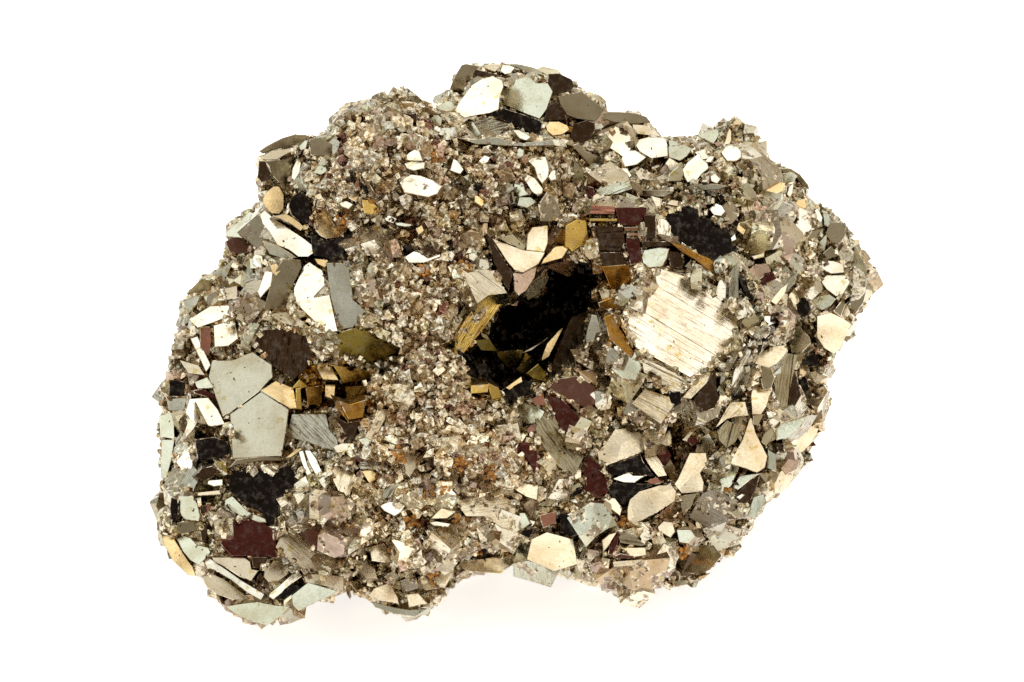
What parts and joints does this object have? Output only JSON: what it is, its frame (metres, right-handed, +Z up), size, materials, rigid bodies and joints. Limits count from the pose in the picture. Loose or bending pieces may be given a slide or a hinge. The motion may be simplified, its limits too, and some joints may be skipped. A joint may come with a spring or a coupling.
{
  "type": "pyrite specimen",
  "caption": "Knobbly cluster of intergrown pyrite crystals with two pockets and a flat broken underside to rest on.",
  "frame": {"origin": "middle of the bounding box, at the level of the broken underside", "axes": "+Z up from the underside, +X along the specimen's length, -Y the side with the pockets, its best side"},
  "size_m": [0.0614, 0.0518, 0.036],
  "materials": {
    "pyrite": "bright pale brass metal crystal faces, tarnished and rusty in the hollows"
  },
  "bodies": {
    "root": {"pyrite_cluster": "pyrite"}
  },
  "joints": []
}
